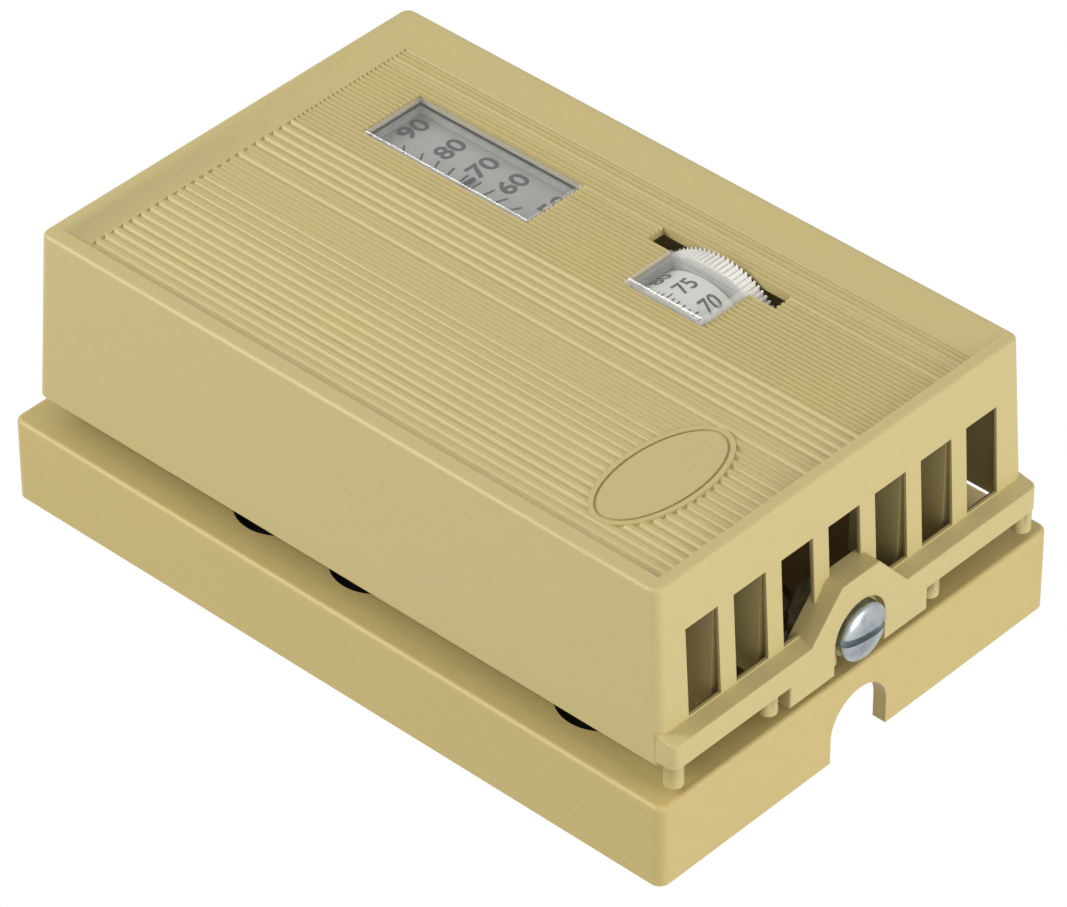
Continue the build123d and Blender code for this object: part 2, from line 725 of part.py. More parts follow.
# ---- terminal block ----------------------------------------------------------------
block_left, block_right = -16.5, -8.5
block_low, block_high = -40.0, -16.0
block_floor, block_top = 20.4, 22.6
terminal_places = [((block_left + block_right) / 2, block_low + 3 + index * 6) for index in range(4)]
with BuildPart() as terminal_block:
    with BuildSketch(front(deck)):
        span(block_left, block_right, block_low, block_high)
    extrude(amount=block_top - deck)
    with BuildSketch(front(block_floor)):
        with Locations(*terminal_places):
            Rectangle(10, 4.8)
    extrude(amount=block_top, mode=Mode.SUBTRACT)
    with BuildSketch(front(block_floor - 3.2)):
        with Locations(*terminal_places):
            Circle(1.3)
    extrude(amount=5, mode=Mode.SUBTRACT)
save(terminal_block, "terminal_block")

with BuildPart() as terminal_clamps:
    with BuildSketch(front(block_floor)):
        with Locations(*terminal_places):
            Rectangle(7.4, 4.4)
            Circle(1.3, mode=Mode.SUBTRACT)
    extrude(amount=0.8)
save(terminal_clamps, "terminal_clamps")
save(pan_screws(terminal_places, block_floor + 0.8, 1.25, 3.6, 2.05, 1.4), "terminal_screws")

# ---- brass strips from the switch to the terminals ---------------------------------
with BuildPart() as bus_strips:
    with BuildSketch(front(deck)):
        span(block_right + 0.1, 6.4, block_high - 2.5, block_high - 1)
        span(4.9, 6.4, block_high - 2.5, 22)
        span(-0.9, 6.4, 20.5, 22)
        span(-0.9, 0.6, 20.5, 27.0)
    extrude(amount=0.5)
    with BuildSketch(front(deck)):
        span(-16.3, -14.8, block_high + 0.1, 27.0)
        span(-16.3, -13.1, 25.6, 27.0)
    extrude(amount=0.5)
save(bus_strips, "bus_strips")

# ---- hooks at the top, screw bracket at the bottom ---------------------------------
with BuildPart() as hook_bracket:
    with BuildSketch(front(deck)):
        span(hook_places[0][0] + 0.5, hook_places[1][1] - 0.5, 44.0, 51.0)
        with Locations(*hook_screw_places):
            Circle(1.3, mode=Mode.SUBTRACT)
        with Locations((0, wall_screw_span / 2)):
            Circle(4.6, mode=Mode.SUBTRACT)
    extrude(amount=0.8)
    for left, right in hook_places:
        with BuildSketch(front(deck)):
            span(left + 0.5, right - 0.5, 50.2, 51.0)
        extrude(amount=5.6)
        with BuildSketch(front(deck + 4.8)):
            span(left + 0.5, right - 0.5, 50.2, 54.4)
        extrude(amount=0.8)
save(hook_bracket, "hook_bracket")
save(pan_screws(hook_screw_places, deck + 0.8, 1.25, 2.2, 2.3, 1.3), "hook_screws")

with BuildPart() as screw_bracket:
    with BuildSketch(front(deck)):
        span(-7, 7, chassis_low, -49.6)
    extrude(amount=0.8)
    with BuildSketch(front(deck)):
        span(-7, 7, chassis_low, chassis_low + 1.2)
    extrude(amount=22.8 - deck)
    fillet(screw_bracket.edges().filter_by(Axis.Z).group_by(Axis.Y)[0], 2)
    with BuildSketch(end_on(-40)):
        with Locations((0, cover_screw_height)):
            Circle(2.12)
    extrude(amount=20, mode=Mode.SUBTRACT)
save(screw_bracket, "screw_bracket")

nut_high = chassis_low + 1.2
with BuildPart() as captive_nut:
    with BuildSketch(end_on(nut_high + 2.6)):
        with Locations((0, cover_screw_height)):
            RegularPolygon(3.4, 6, major_radius=False)
            Circle(2.12, mode=Mode.SUBTRACT)
    extrude(amount=2.6)
save(captive_nut, "captive_nut")

head_seat = recess_floor - 0.1
with BuildPart() as cover_screw:
    with BuildSketch(end_on(nut_high + 3.4)):
        with Locations((0, cover_screw_height)):
            Circle(2.05)
    extrude(amount=nut_high + 3.4 - head_seat)
    with BuildSketch(end_on(head_seat)):
        with Locations((0, cover_screw_height)):
            Circle(4.3)
    extrude(amount=2.9)
    fillet(cover_screw.edges().filter_by(GeomType.CIRCLE).group_by(Axis.Z)[0], 1.4)
    with BuildSketch(end_on(head_seat - 1.5)):
        with Locations((0, cover_screw_height)):
            Rectangle(10, 1.1, rotation=-14)
    extrude(amount=4, mode=Mode.SUBTRACT)
save(cover_screw, "cover_screw")
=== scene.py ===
"""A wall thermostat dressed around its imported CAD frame.

The frame is in metres: +X to the right, +Z up the wall, the face towards -Y. Sizes in
this file are written in millimetres and turned to metres by MM.
"""

import logging
import math
from dataclasses import dataclass, field
from enum import Enum
from typing import Any

import bmesh
import bpy
from mathutils import Matrix, Vector


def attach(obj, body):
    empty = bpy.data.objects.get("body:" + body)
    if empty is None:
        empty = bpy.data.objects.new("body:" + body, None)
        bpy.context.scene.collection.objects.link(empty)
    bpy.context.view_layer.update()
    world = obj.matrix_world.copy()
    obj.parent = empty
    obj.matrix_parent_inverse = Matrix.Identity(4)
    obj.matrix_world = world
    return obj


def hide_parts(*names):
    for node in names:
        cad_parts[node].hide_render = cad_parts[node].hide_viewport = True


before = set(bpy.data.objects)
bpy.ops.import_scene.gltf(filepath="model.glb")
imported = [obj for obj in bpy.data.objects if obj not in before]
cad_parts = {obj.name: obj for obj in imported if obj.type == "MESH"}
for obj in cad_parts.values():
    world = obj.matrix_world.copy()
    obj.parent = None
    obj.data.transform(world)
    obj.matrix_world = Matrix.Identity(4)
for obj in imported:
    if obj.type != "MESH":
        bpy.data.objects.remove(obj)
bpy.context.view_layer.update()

logging.basicConfig(level=logging.INFO, format="%(message)s")
log = logging.getLogger("thermostat")

MM = 0.001
WELD = 0.0005 * MM                  # CAD triangles' corners closer than this are one
RESIN_IOR = 1.53
ACRYLIC_IOR = 1.49
PRINT_THICKNESS = 0.03              # of ink on the plate and the drum, in millimetres
PRINT_LIFT = 0.02                   # of the ink's middle off its surface, in millimetres
Colour = tuple[float, float, float, float]


# ---------------------------------------------------------------------------------
# colour and node helpers
# ---------------------------------------------------------------------------------
def linear(hex_code: str) -> Colour:
    """Turns an sRGB hex value into a linear colour.

    Args:
        hex_code: Six hex digits, with or without a leading hash.

    Returns:
        Linear red, green and blue, and an alpha of one.
    """
    digits = hex_code.lstrip("#")
    channels = (int(digits[i:i + 2], 16) / 255 for i in (0, 2, 4))
    r, g, b = (c / 12.92 if c <= 0.04045 else ((c + 0.055) / 1.055) ** 2.4 for c in channels)
    return r, g, b, 1.0


def per_mm(size: float) -> float:
    """Texture scale, in object space, that gives features of about size millimetres."""
    return 1.0 / (size * MM)


def add_node(
    tree: bpy.types.NodeTree, kind: str, inputs: dict[Any, Any] | None = None, **settings: Any
) -> bpy.types.Node:
    """Adds one node with its settings, values and links.

    Args:
        tree: The tree to add to.
        kind: The node's type name.
        inputs: Input name or index to a value, or to the output socket that feeds it.
        settings: Attributes of the node itself.

    Returns:
        The new node.
    """
    node = tree.nodes.new(kind)
    for key, value in settings.items():
        setattr(node, key, value)
    for key, value in (inputs or {}).items():
        if isinstance(value, bpy.types.NodeSocket):
            tree.links.new(value, node.inputs[key])
        else:
            node.inputs[key].default_value = value
    return node


def new_material(name: str) -> tuple[bpy.types.Material, bpy.types.NodeTree, bpy.types.NodeSocket]:
    """Starts a material.

    Args:
        name: The material's name.

    Returns:
        The material, its emptied tree and its object-space coordinates.
    """
    material = bpy.data.materials.new(name)
    material.use_nodes = True
    tree = material.node_tree
    tree.nodes.clear()
    coords = add_node(tree, "ShaderNodeTexCoord")
    return material, tree, coords.outputs["Object"]


def close_material(tree: bpy.types.NodeTree, shader: bpy.types.NodeSocket) -> None:
    """Joins a finished shader to the material's output."""
    add_node(tree, "ShaderNodeOutputMaterial", {"Surface": shader})


# ---------------------------------------------------------------------------------
# finishes
# ---------------------------------------------------------------------------------
@dataclass(frozen=True)
class MouldedPlastic:
    """Injection-moulded ABS from a spark-eroded tool: an even satin with a fine grain.

    The grain itself is near 0.1 mm; it is drawn coarser so that it shows.
    """

    name: str
    colour: str
    tint: str
    roughness: float = 0.5
    grain: float = 0.32
    grain_depth: float = 0.010
    cloud: float = 14.0
    speck: str = "5a4a2c"
    speck_cell: float = 5.0
    speck_size: float = 0.022

    def material(self) -> bpy.types.Material:
        """Builds the material: faint clouds, grain, and a few dark specks in the resin."""
        material, tree, coords = new_material(self.name)
        cloud = add_node(
            tree, "ShaderNodeTexNoise", {"Vector": coords, "Scale": per_mm(self.cloud), "Detail": 3.0}
        )
        grain = add_node(
            tree, "ShaderNodeTexNoise", {"Vector": coords, "Scale": per_mm(self.grain), "Detail": 4.0}
        )
        spread = add_node(
            tree, "ShaderNodeMapRange",
            {"Value": cloud.outputs["Fac"], "From Min": 0.3, "From Max": 0.7, "To Min": 0.0, "To Max": 1.0},
        )
        body = add_node(
            tree, "ShaderNodeMix",
            {"Factor": spread.outputs["Result"], "A": linear(self.colour), "B": linear(self.tint)},
            data_type="RGBA",
        )
        shade = add_node(
            tree, "ShaderNodeMapRange",
            {"Value": grain.outputs["Fac"], "From Min": 0.25, "From Max": 0.75, "To Min": 0.955,
             "To Max": 1.04},
        )
        grained = add_node(
            tree, "ShaderNodeVectorMath",
            {0: body.outputs["Result"], "Scale": shade.outputs["Result"]}, operation="SCALE",
        )
        cells = add_node(
            tree, "ShaderNodeTexVoronoi", {"Vector": coords, "Scale": per_mm(self.speck_cell), "Randomness": 1.0}
        )
        near = add_node(
            tree, "ShaderNodeMapRange",
            {"Value": cells.outputs["Distance"], "From Min": self.speck_size * 0.5, "From Max": self.speck_size,
             "To Min": 0.75, "To Max": 0.0},
        )
        specked = add_node(
            tree, "ShaderNodeMix",
            {"Factor": near.outputs["Result"], "A": grained.outputs["Vector"], "B": linear(self.speck)},
            data_type="RGBA",
        )
        rough = add_node(
            tree, "ShaderNodeMapRange",
            {"Value": grain.outputs["Fac"], "To Min": self.roughness - 0.07, "To Max": self.roughness + 0.07},
        )
        bump = add_node(
            tree, "ShaderNodeBump",
            {"Height": grain.outputs["Fac"], "Strength": 0.5, "Distance": self.grain_depth * MM},
        )
        shader = add_node(
            tree, "ShaderNodeBsdfPrincipled",
            {"Base Color": specked.outputs["Result"], "Roughness": rough.outputs["Result"],
             "Normal": bump.outputs["Normal"], "IOR": RESIN_IOR},
        )
        close_material(tree, shader.outputs["BSDF"])
        return material


@dataclass(frozen=True)
class ClearPlastic:
    """Polished moulded acrylic, thin enough that it hardly bends the view.

    The haze is the share of white that light scattered inside the plastic adds; on the edge finish the larger
    haze is a painted highlight.
    """

    name: str
    haze: float = 0.05
    colour: str = "fbfcfc"
    milk: str = "e6e6e4"
    gloss: str = "fafafa"
    roughness: float = 0.05
    ripple: float = 6.0
    ripple_depth: float = 0.01

    def material(self) -> bpy.types.Material:
        """Builds the material; only its outer faces shine, with a moulding's slow ripple."""
        material, tree, coords = new_material(self.name)
        wave = add_node(
            tree, "ShaderNodeTexNoise", {"Vector": coords, "Scale": per_mm(self.ripple), "Detail": 1.0}
        )
        bump = add_node(
            tree, "ShaderNodeBump",
            {"Height": wave.outputs["Fac"], "Strength": 0.3, "Distance": self.ripple_depth * MM},
        )
        sides = add_node(tree, "ShaderNodeNewGeometry")
        outside = add_node(
            tree, "ShaderNodeMath", {0: 1.0, 1: sides.outputs["Backfacing"]}, operation="SUBTRACT"
        )
        angle = add_node(tree, "ShaderNodeFresnel", {"IOR": ACRYLIC_IOR, "Normal": bump.outputs["Normal"]})
        shine = add_node(
            tree, "ShaderNodeMath", {0: angle.outputs["Fac"], 1: outside.outputs["Value"]}, operation="MULTIPLY"
        )
        clear = add_node(tree, "ShaderNodeBsdfTransparent", {"Color": linear(self.colour)})
        milk = add_node(tree, "ShaderNodeBsdfDiffuse", {"Color": linear(self.milk)})
        hazy = add_node(
            tree, "ShaderNodeMixShader", {0: self.haze, 1: clear.outputs["BSDF"], 2: milk.outputs["BSDF"]}
        )
        glint = add_node(
            tree, "ShaderNodeBsdfGlossy",
            {"Color": linear(self.gloss), "Roughness": self.roughness, "Normal": bump.outputs["Normal"]},
        )
        shader = add_node(
            tree, "ShaderNodeMixShader",
            {0: shine.outputs["Value"], 1: hazy.outputs["Shader"], 2: glint.outputs["BSDF"]},
        )
        close_material(tree, shader.outputs["Shader"])
        return material


@dataclass(frozen=True)
class Metal:
    """A metal surface whose sheen comes from fine lines or from a crystalline plating.

    Bare is 1.0 for bare metal and less under a lacquer or a paint.
    """

    name: str
    colour: str
    stain: str
    roughness: float = 0.35
    spread: float = 0.12
    line: tuple[float, float, float] = (0.4, 0.4, 0.4)
    depth: float = 0.004
    bare: float = 1.0
    patch_size: float = 2.5

    def material(self) -> bpy.types.Material:
        """Builds the material: stretched noise for the lines, slow noise for the stain."""
        material, tree, coords = new_material(self.name)
        stretch = add_node(
            tree, "ShaderNodeMapping", {"Vector": coords, "Scale": tuple(per_mm(size) for size in self.line)}
        )
        lines = add_node(
            tree, "ShaderNodeTexNoise", {"Vector": stretch.outputs["Vector"], "Scale": 1.0, "Detail": 4.0}
        )
        stain = add_node(
            tree, "ShaderNodeTexNoise", {"Vector": coords, "Scale": per_mm(self.patch_size), "Detail": 3.0}
        )
        patch = add_node(
            tree, "ShaderNodeMapRange",
            {"Value": stain.outputs["Fac"], "From Min": 0.42, "From Max": 0.72, "To Min": 0.0, "To Max": 0.8},
        )
        colour = add_node(
            tree, "ShaderNodeMix",
            {"Factor": patch.outputs["Result"], "A": linear(self.colour), "B": linear(self.stain)},
            data_type="RGBA",
        )
        rough = add_node(
            tree, "ShaderNodeMapRange",
            {"Value": lines.outputs["Fac"], "To Min": self.roughness - self.spread,
             "To Max": self.roughness + self.spread},
        )
        bump = add_node(
            tree, "ShaderNodeBump",
            {"Height": lines.outputs["Fac"], "Strength": 0.5, "Distance": self.depth * MM},
        )
        shader = add_node(
            tree, "ShaderNodeBsdfPrincipled",
            {"Base Color": colour.outputs["Result"], "Metallic": self.bare,
             "Roughness": rough.outputs["Result"], "Normal": bump.outputs["Normal"]},
        )
        close_material(tree, shader.outputs["BSDF"])
        return material


@dataclass(frozen=True)
class Board:
    """Paper-based phenolic board: brown, with the faint weave of its paper layers."""

    name: str
    colour: str = "6e5732"
    fibre: str = "826840"
    roughness: float = 0.42
    weave: tuple[float, float, float] = (0.5, 0.5, 4.0)

    def material(self) -> bpy.types.Material:
        """Builds the material: fibres stretched along the board under a dull varnish."""
        material, tree, coords = new_material(self.name)
        stretch = add_node(
            tree, "ShaderNodeMapping", {"Vector": coords, "Scale": tuple(per_mm(size) for size in self.weave)}
        )
        fibre = add_node(
            tree, "ShaderNodeTexNoise", {"Vector": stretch.outputs["Vector"], "Scale": 1.0, "Detail": 5.0}
        )
        colour = add_node(
            tree, "ShaderNodeMix",
            {"Factor": fibre.outputs["Fac"], "A": linear(self.colour), "B": linear(self.fibre)},
            data_type="RGBA",
        )
        bump = add_node(
            tree, "ShaderNodeBump", {"Height": fibre.outputs["Fac"], "Strength": 0.4, "Distance": 0.01 * MM}
        )
        shader = add_node(
            tree, "ShaderNodeBsdfPrincipled",
            {"Base Color": colour.outputs["Result"], "Roughness": self.roughness,
             "Normal": bump.outputs["Normal"]},
        )
        close_material(tree, shader.outputs["BSDF"])
        return material


@dataclass(frozen=True)
class Ink:
    """Printing ink: flat and dark, slightly uneven where the pad left it thin."""

    name: str
    colour: str
    thin: str
    roughness: float = 0.6

    def material(self) -> bpy.types.Material:
        """Builds the material."""
        material, tree, coords = new_material(self.name)
        cover = add_node(tree, "ShaderNodeTexNoise", {"Vector": coords, "Scale": per_mm(0.5), "Detail": 2.0})
        colour = add_node(
            tree, "ShaderNodeMix",
            {"Factor": cover.outputs["Fac"], "A": linear(self.colour), "B": linear(self.thin)},
            data_type="RGBA",
        )
        shader = add_node(
            tree, "ShaderNodeBsdfPrincipled",
            {"Base Color": colour.outputs["Result"], "Roughness": self.roughness},
        )
        close_material(tree, shader.outputs["BSDF"])
        return material


class Finish(Enum):
    """Every finish on the object."""

    HOUSING = MouldedPlastic("moulded_abs_beige", "bcad76", "bbac78")
    BASE = MouldedPlastic("moulded_abs_deep_beige", "bba86c", "baa76d")
    WHEEL = MouldedPlastic(
        "moulded_acetal_white", "e3e2dd", "dfded8",
        roughness=0.42, grain=0.25, grain_depth=0.004, speck="b9b7ac",
    )
    BLACK = MouldedPlastic(
        "moulded_phenolic_black", "0d0d0e", "141415",
        roughness=0.16, grain=0.5, grain_depth=0.002, speck="1c1c1d",
    )
    CLEAR = ClearPlastic("polished_acrylic_clear")
    # milky white on the windows' bevels and skirts: a painted highlight standing in for their glints
    CLEAR_EDGE = ClearPlastic("acrylic_edge_painted_highlight", haze=0.3, roughness=0.1, ripple=1.5)
    RUBBER = MouldedPlastic(
        "moulded_rubber_black", "0b0b0c", "0f0f10",
        roughness=0.45, grain=0.6, grain_depth=0.006, speck="151515",
    )
    ZINC = Metal("zinc_plated_steel", "b9bcbb", "a3a7a3", roughness=0.34)
    SCREW = Metal(
        "zinc_plated_screw", "c3cace", "939eaa",
        roughness=0.3, spread=0.12, line=(0.5, 0.5, 0.5), depth=0.02,
    )
    SCALE = Metal(
        "satin_aluminium_scale", "b8b7b5", "b2b1af",
        roughness=0.5, spread=0.06, line=(3.0, 0.3, 0.15), bare=0.2,
    )
    BRASS = Metal("rolled_brass", "c9a45a", "b18b45", roughness=0.3, line=(0.3, 0.3, 3.0))
    BIMETAL = Metal("rolled_bimetal", "a89a80", "94866c", roughness=0.33, line=(0.2, 0.2, 4.0))
    # black-oxide steel for the chassis screws; their darkness is partly painted shade, so the heads read as the
    # shadow under the cover
    DARK_STEEL = Metal("oxide_black_steel_painted_shade", "2a2723", "1d1b19", roughness=0.42)
    BOARD = Board("phenolic_board_brown")
    POINTER = Ink("black_enamel", "18171a", "242227", roughness=0.35)
    PRINT = Ink("scale_ink_grey", "3b373d", "57525a")


class Paintbox:
    """Makes each finish's material once and hands it out."""

    def __init__(self) -> None:
        """Starts with no materials made."""
        self.made: dict[Finish, bpy.types.Material] = {}

    def get(self, finish: Finish) -> bpy.types.Material:
        """Returns the finish's material, made on first use."""
        if finish not in self.made:
            self.made[finish] = finish.value.material()
        return self.made[finish]


PAINT = Paintbox()


# ---------------------------------------------------------------------------------
# mesh helpers
# ---------------------------------------------------------------------------------
def piece_from(
    name: str, bm: bmesh.types.BMesh, finish: Finish, body: str, sharp: float = 30.0
) -> bpy.types.Object:
    """Turns a bmesh into a finished piece at the origin.

    Args:
        name: The piece's name.
        bm: The mesh, in metres and in the frame; it is freed.
        finish: The surface it gets.
        body: The CAD body it rides on.
        sharp: Edges that turn more than this many degrees stay crisp.

    Returns:
        The new object.
    """
    mesh = bpy.data.meshes.new(name)
    bm.to_mesh(mesh)
    bm.free()
    mesh.shade_smooth()
    mesh.set_sharp_from_angle(angle=math.radians(sharp))
    obj = bpy.data.objects.new(name, mesh)
    bpy.context.scene.collection.objects.link(obj)
    mesh.materials.append(PAINT.get(finish))
    even = obj.modifiers.new("even_normals", "WEIGHTED_NORMAL")
    even.mode = "FACE_AREA"
    even.weight = 100
    even.keep_sharp = True
    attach(obj, body)
    log.info("%s: %d faces on %s", name, len(mesh.polygons), body)
    return obj


def merged_copy(node: str) -> bmesh.types.BMesh:
    """Copies a CAD node's surface and joins its loose triangles.

    Args:
        node: The CAD node.

    Returns:
        A closed mesh whose flat regions are made of large faces.
    """
    bm = bmesh.new()
    bm.from_mesh(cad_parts[node].data)
    bmesh.ops.remove_doubles(bm, verts=bm.verts, dist=WELD)
    bmesh.ops.dissolve_degenerate(bm, dist=WELD, edges=bm.edges)
    bmesh.ops.dissolve_limit(bm, angle_limit=math.radians(0.2), verts=bm.verts, edges=bm.edges)
    return bm


def fair_piece(node: str, finish: Finish, body: str, sharp: float = 30.0) -> bpy.types.Object:
    """Stands a smooth-shaded merged copy in for one CAD node.

    Args:
        node: The CAD node it replaces.
        finish: The surface it gets.
        body: The CAD body it rides on.
        sharp: Edges that turn more than this many degrees stay crisp.

    Returns:
        The new object.
    """
    obj = piece_from(f"{node}_fair", merged_copy(node), finish, body, sharp)
    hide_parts(node)
    return obj


def lettering(text: str, height: float, width: float, weight: float) -> bmesh.types.BMesh:
    """Makes a number as thin raised print, centred on the origin in its own XY plane.

    Args:
        text: The characters.
        height: Their height in millimetres.
        width: The whole word's width in millimetres.
        weight: How much the strokes are fattened, in millimetres.

    Returns:
        A closed mesh in metres, as thick as the print.
    """
    curve = bpy.data.curves.new("lettering", "FONT")
    curve.body = text
    curve.align_x = "CENTER"
    curve.align_y = "CENTER"
    curve.size = 1.0
    curve.resolution_u = 4
    holder = bpy.data.objects.new("lettering", curve)
    mesh = bpy.data.meshes.new_from_object(holder)
    xs = [v.co.x for v in mesh.vertices]
    ys = [v.co.y for v in mesh.vertices]
    wide, tall = max(xs) - min(xs), max(ys) - min(ys)
    bpy.data.meshes.remove(mesh)
    curve.offset = weight / height * tall
    curve.extrude = PRINT_THICKNESS / 2 / height * tall
    mesh = bpy.data.meshes.new_from_object(holder)
    bm = bmesh.new()
    bm.from_mesh(mesh)
    bmesh.ops.remove_doubles(bm, verts=bm.verts, dist=1e-5)
    middle = Vector(((max(xs) + min(xs)) / 2, (max(ys) + min(ys)) / 2, 0.0))
    bmesh.ops.translate(bm, verts=bm.verts, vec=-middle)
    bmesh.ops.scale(bm, verts=bm.verts, vec=(width / wide * MM, height / tall * MM, height / tall * MM))
    bpy.data.objects.remove(holder)
    bpy.data.curves.remove(curve)
    bpy.data.meshes.remove(mesh)
    return bm


def join_into(target: bmesh.types.BMesh, extra: bmesh.types.BMesh) -> None:
    """Adds one bmesh's geometry to another and frees it."""
    mesh = bpy.data.meshes.new("joining")
    extra.to_mesh(mesh)
    extra.free()
    target.from_mesh(mesh)
    bpy.data.meshes.remove(mesh)


def bar(length: float, width: float, thickness: float) -> bmesh.types.BMesh:
    """Makes a thin bar with rounded ends, centred on the origin and lying along X.

    Args:
        length: Its length in millimetres.
        width: Its width in millimetres.
        thickness: Its thickness in millimetres, along Z.

    Returns:
        A closed mesh in metres.
    """
    bm = bmesh.new()
    bmesh.ops.create_cube(bm, size=1.0)
    bmesh.ops.scale(bm, verts=bm.verts, vec=(length * MM, width * MM, thickness * MM))
    upright = [e for e in bm.edges if abs((e.verts[0].co - e.verts[1].co).normalized().z) > 0.9]
    bmesh.ops.bevel(
        bm, geom=upright, offset=width * 0.3 * MM, offset_type="OFFSET", segments=2, profile=0.5,
        affect="EDGES", material=-1,
    )
    return bm


def facing_out(x: float, height: float, z: float, turn: float = 0.0) -> Matrix:
    """Places a flat drawing on a plane parallel to the wall.

    Args:
        x: Its place across, in millimetres.
        height: Its distance out from the wall, in millimetres.
        z: Its place up the wall, in millimetres.
        turn: Degrees that it is turned counter-clockwise as the face is seen.

    Returns:
        The matrix that takes the drawing's X to +X, its Y to +Z and its Z towards -Y.
    """
    stand = Matrix.Rotation(math.radians(90), 4, "X")
    return Matrix.Translation(Vector((x, -height, z)) * MM) @ stand @ Matrix.Rotation(math.radians(turn), 4, "Z")


# ---------------------------------------------------------------------------------
# the thermostat's sub-assemblies
# ---------------------------------------------------------------------------------
@dataclass
class Housing:
    """The two beige mouldings: the sub-base and the ribbed cover."""

    crisp: float = 25.0

    def build(self) -> None:
        """Replaces both CAD shells with smooth-shaded ones."""
        fair_piece("sub_base", Finish.BASE, "base", self.crisp)
        fair_piece("cover_shell", Finish.HOUSING, "cover", self.crisp)


@dataclass
class Windows:
    """The two clear windows in the face."""

    nodes: tuple[str, str] = ("thermometer_lens", "setpoint_lens")
    facing: float = 0.9

    def build(self) -> None:
        """Stands clear mouldings in for both, with milky white on their bevels and skirts as a painted
        highlight.
        """
        for node in self.nodes:
            lens = fair_piece(node, Finish.CLEAR, "cover", 20.0)
            lens.data.materials.append(PAINT.get(Finish.CLEAR_EDGE))
            # faces that don't face out take the edge finish, a painted highlight on the bevels and skirts
            for polygon in lens.data.polygons:
                if abs(polygon.normal.y) < self.facing:
                    polygon.material_index = 1


@dataclass
class Thermometer:
    """The scale behind the long window, with its print and its pointer."""

    pivot: tuple[float, float] = (-0.8, 24.4)
    face: float = 41.3
    number_x: float = 19.2
    numbers: dict[str, float] = field(
        default_factory=lambda: {"90": 38.7, "80": 31.8, "70": 25.6, "60": 20.0, "50": 12.3}
    )
    number_size: tuple[float, float] = (2.9, 4.5)
    number_weight: float = 0.09
    tick_radius: float = 16.4
    tick_length: float = 1.9
    tick_width: float = 0.34
    tick_step: float = 8.2
    tick_first: float = 4.7
    ticks: range = range(-4, 5)

    def print_numbers(self) -> None:
        """Prints the plate's numbers."""
        bm = bmesh.new()
        height, width = self.number_size
        for text, z in self.numbers.items():
            word = lettering(text, height, width, self.number_weight)
            place = facing_out(self.number_x, self.face + PRINT_LIFT, z)
            bmesh.ops.transform(word, matrix=place, verts=word.verts)
            join_into(bm, word)
        piece_from("scale_numbers", bm, Finish.PRINT, "cover")

    def print_ticks(self) -> None:
        """Prints the fan of marks that the pointer sweeps."""
        bm = bmesh.new()
        for index in self.ticks:
            turn = self.tick_first + index * self.tick_step
            reach = self.tick_radius / math.cos(math.radians(turn) * 0.9)
            x = self.pivot[0] + reach * math.cos(math.radians(turn))
            z = self.pivot[1] + reach * math.sin(math.radians(turn))
            mark = bar(self.tick_length, self.tick_width, PRINT_THICKNESS)
            place = facing_out(x, self.face + PRINT_LIFT, z, turn)
            bmesh.ops.transform(mark, matrix=place, verts=mark.verts)
            join_into(bm, mark)
        piece_from("scale_ticks", bm, Finish.PRINT, "cover")

    def build(self) -> None:
        """Dresses the plate, prints it and finishes the movement behind it."""
        fair_piece("scale_plate", Finish.SCALE, "cover")
        fair_piece("arbor_bridge", Finish.BRASS, "cover")
        fair_piece("thermometer_coil", Finish.BIMETAL, "cover")
        fair_piece("scale_screws", Finish.ZINC, "cover")
        fair_piece("pointer_arbor", Finish.BRASS, "pointer")
        fair_piece("thermometer_pointer", Finish.POINTER, "pointer")
        self.print_numbers()
        self.print_ticks()


